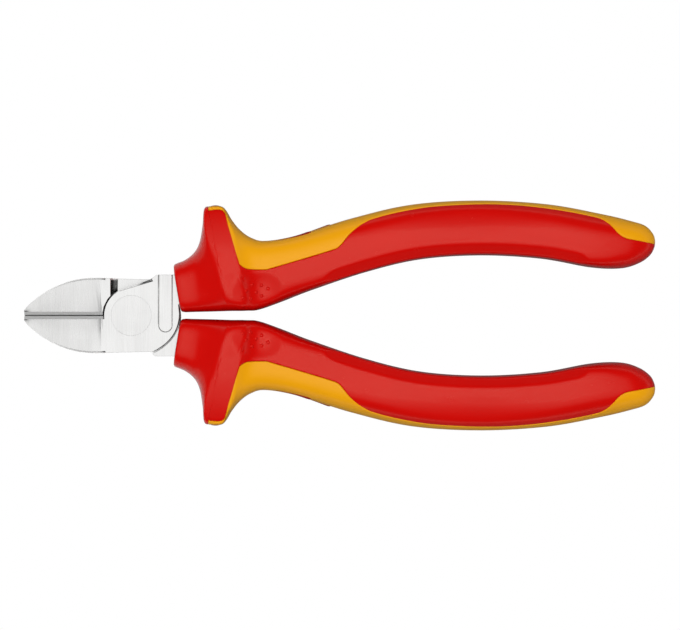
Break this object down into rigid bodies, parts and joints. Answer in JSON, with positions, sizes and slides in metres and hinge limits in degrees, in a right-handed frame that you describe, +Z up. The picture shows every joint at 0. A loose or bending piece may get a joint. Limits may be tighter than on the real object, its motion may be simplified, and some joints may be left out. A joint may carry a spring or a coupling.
{
  "type": "insulated diagonal cutting pliers",
  "caption": "Side-cutting hand pliers with a lap joint, bevelled jaws, flanged hand guards and curved two-tone insulated grips, shown closed.",
  "frame": {"origin": "centre of the bounding box seen from above, at the height of the surface the tool lies on", "axes": "+X along the tool from the jaw tips to the handle ends, +Y across it towards the front half's handle, +Z up out of the front joint plate, parallel to the pivot"},
  "size_m": [0.14, 0.051, 0.019],
  "materials": {
    "polished_steel": "chrome plated forging, finely ground on the jaw and joint faces",
    "rivet_steel": "chrome plated with the joint, ground flush",
    "red_grip": "satin moulded insulating plastic, fine spark-eroded texture",
    "yellow_grip": "soft matt moulded elastomer",
    "red_inlay": "satin moulded plastic",
    "inner_sleeve": "moulded inner insulation, not visible"
  },
  "bodies": {
    "rear_half": {"rear_forging": "polished_steel", "sleeve_rear": "inner_sleeve", "grip_rear": "red_grip", "soft_zone_rear": "yellow_grip", "guard_inlay_rear": "red_inlay", "grip_drop_rear_center": "red_inlay", "grip_drop_rear_front": "red_inlay", "grip_drop_rear_back": "red_inlay", "pivot_rivet": "rivet_steel"},
    "front_half": {"front_forging": "polished_steel", "sleeve_front": "inner_sleeve", "grip_front": "red_grip", "soft_zone_front": "yellow_grip", "guard_inlay_front": "red_inlay", "grip_drop_front_center": "red_inlay", "grip_drop_front_front": "red_inlay", "grip_drop_front_back": "red_inlay"}
  },
  "joints": [
    {"name": "jaw_pivot", "type": "hinge", "parent": "rear_half", "child": "front_half", "pos_m": [-0.0461, 0, 0.0095], "axis": [0, 0, 1], "range_deg": [0, 28]}
  ]
}
